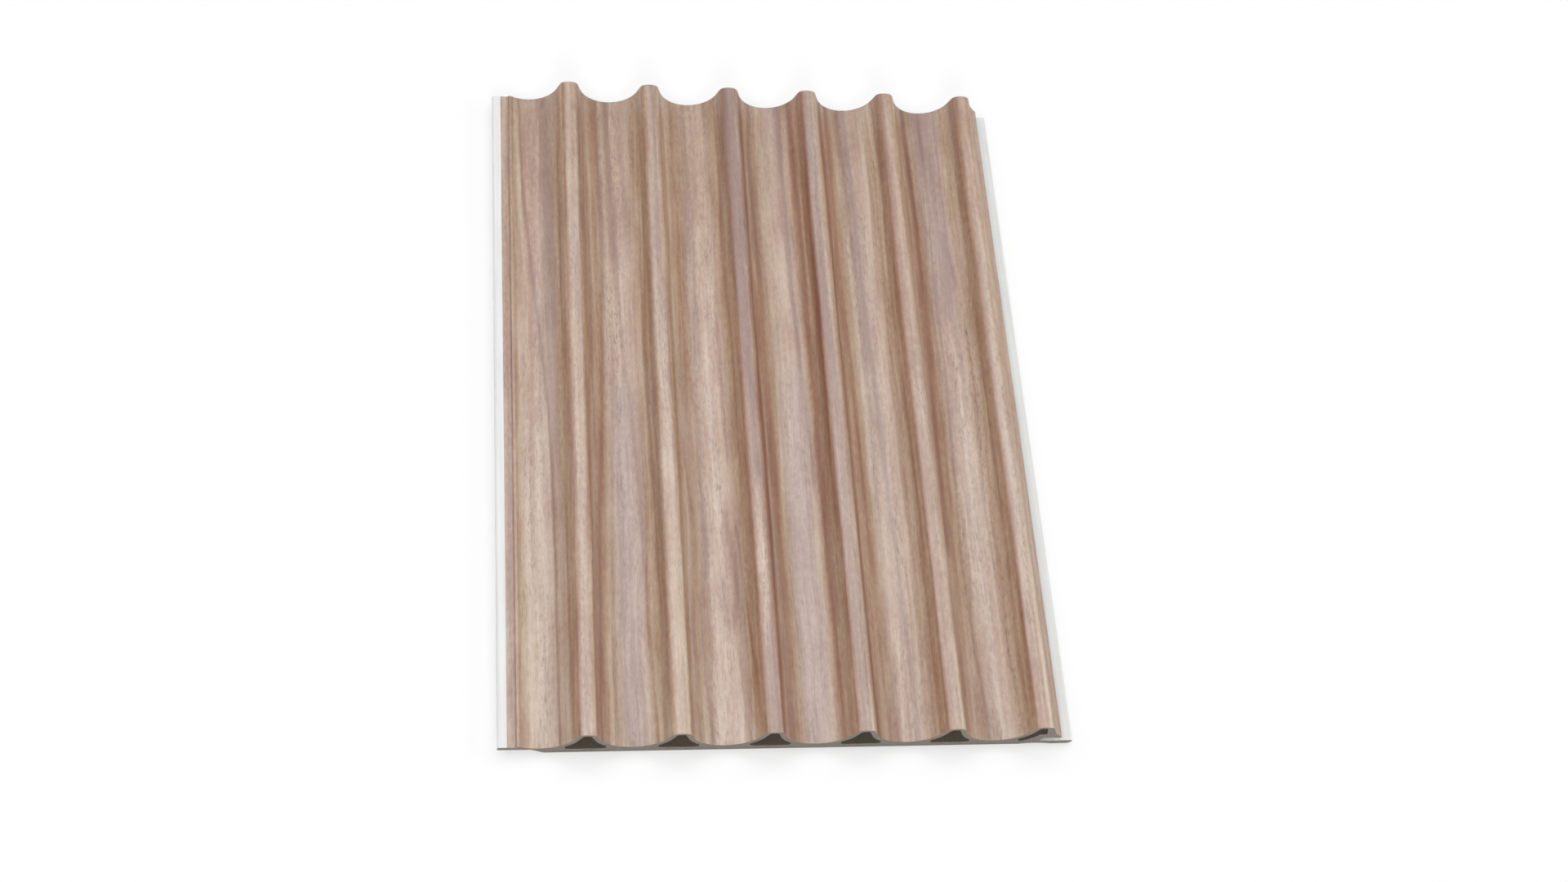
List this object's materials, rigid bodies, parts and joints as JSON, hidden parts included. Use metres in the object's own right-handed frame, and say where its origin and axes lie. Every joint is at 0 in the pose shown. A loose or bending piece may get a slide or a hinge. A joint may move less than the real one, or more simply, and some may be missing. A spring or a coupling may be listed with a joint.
{
  "type": "wavy wall panel",
  "caption": "Length of hollow fluted wall panel with rounded ribs, concave flutes, a wood-grain face, and tongue and groove edges with a fixing lip.",
  "frame": {"origin": "centre of the bounding box's base, on the panel's flat back", "axes": "+Y along the panel's length, +Z out of the wavy face, +X across the width from the tongue to the fixing lip"},
  "size_m": [0.1588, 0.212, 0.0133],
  "materials": {
    "woodgrain_film": "satin wood-grain film over an extruded plastic profile; pale bare tongue and lip, grey sawn ends"
  },
  "bodies": {
    "root": {"wall_panel": "woodgrain_film"}
  },
  "joints": []
}
